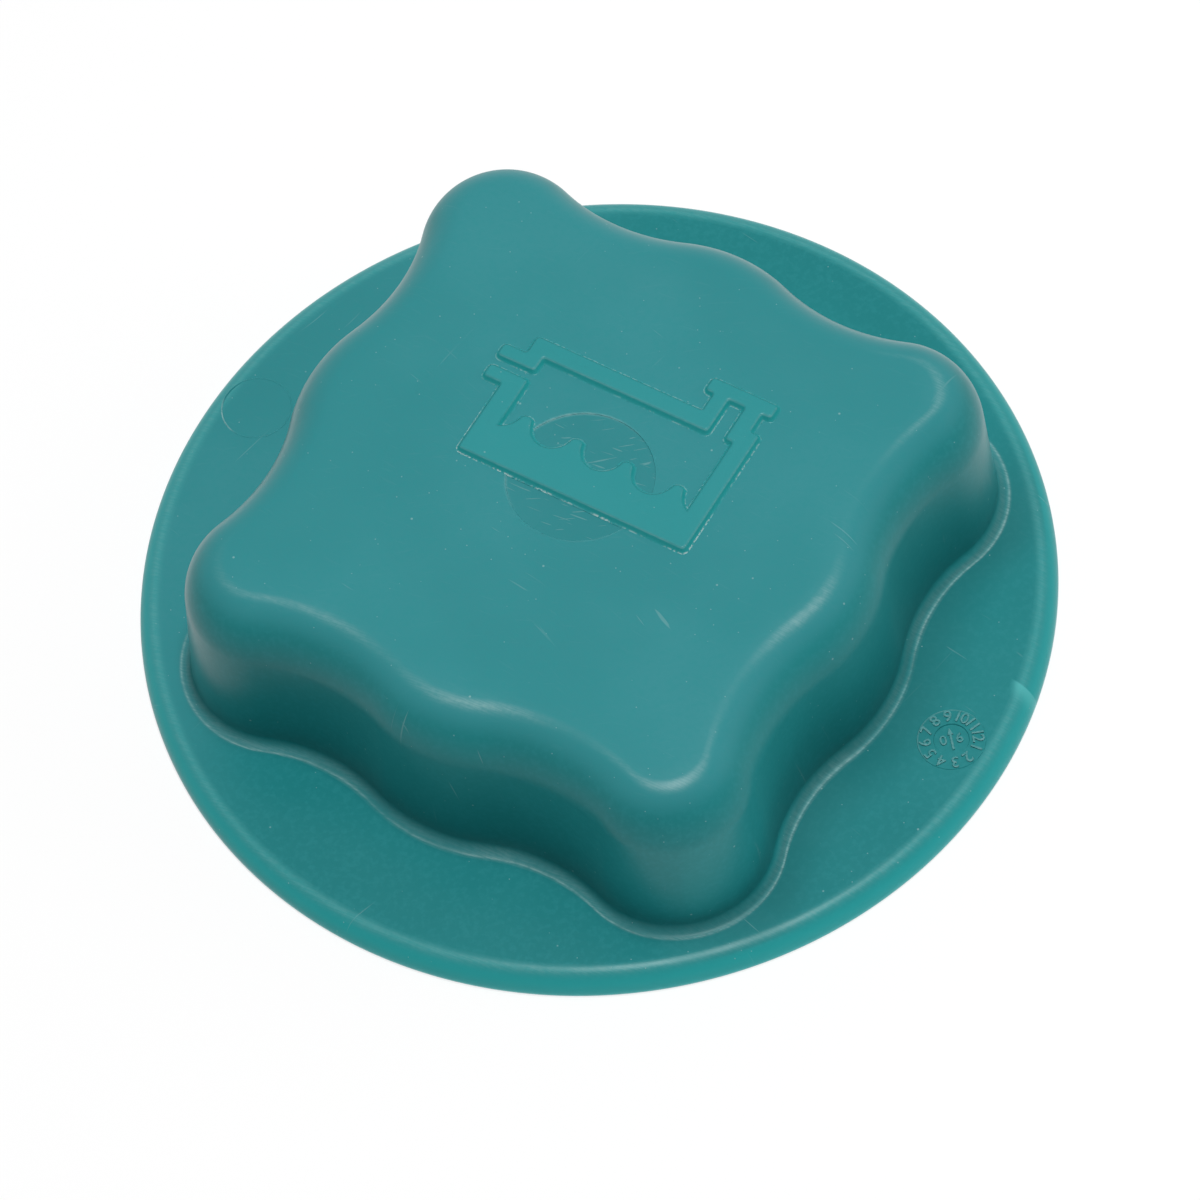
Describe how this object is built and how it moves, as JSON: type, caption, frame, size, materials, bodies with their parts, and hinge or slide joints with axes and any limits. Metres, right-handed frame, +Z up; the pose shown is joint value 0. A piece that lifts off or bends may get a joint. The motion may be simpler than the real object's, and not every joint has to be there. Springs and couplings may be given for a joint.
{
  "type": "coolant pressure cap",
  "caption": "Round screw-on pressure cap for a coolant expansion tank: lobed hand grip on a wide flange, neck thread inside, and a sprung pressure and vacuum valve cartridge.",
  "frame": {"origin": "centre of the flange's underside, on the cap's axis", "axes": "+Z up the axis through the grip's roof, +X and +Y through two neighbouring lobes of the grip"},
  "size_m": [0.08, 0.08, 0.019],
  "materials": {
    "shell_plastic": "satin teal moulding",
    "housing_plastic": "satin black moulding",
    "valve_plastic": "natural moulding",
    "rubber": "matt",
    "spring_steel": "bright drawn wire",
    "poppet_brass": "turned"
  },
  "bodies": {
    "cap": {"cap_shell": "shell_plastic", "neck_gasket": "rubber", "valve_housing": "housing_plastic", "spring_cover": "valve_plastic", "pressure_spring": "spring_steel"},
    "pressure_valve": {"pressure_plate": "valve_plastic", "pressure_seal": "rubber", "vacuum_spring": "spring_steel"},
    "vacuum_valve": {"vacuum_poppet": "poppet_brass", "vacuum_clip": "spring_steel"}
  },
  "joints": [
    {"name": "pressure_valve_slide", "type": "slide", "parent": "cap", "child": "pressure_valve", "axis": [0, 0, 1], "range_m": [0, 0.002], "stiffness_N_per_m": 2400, "deforming": ["pressure_spring"]},
    {"name": "vacuum_valve_slide", "type": "slide", "parent": "pressure_valve", "child": "vacuum_valve", "axis": [0, 0, -1], "range_m": [0, 0.001], "stiffness_N_per_m": 1000, "deforming": ["vacuum_spring"]}
  ]
}
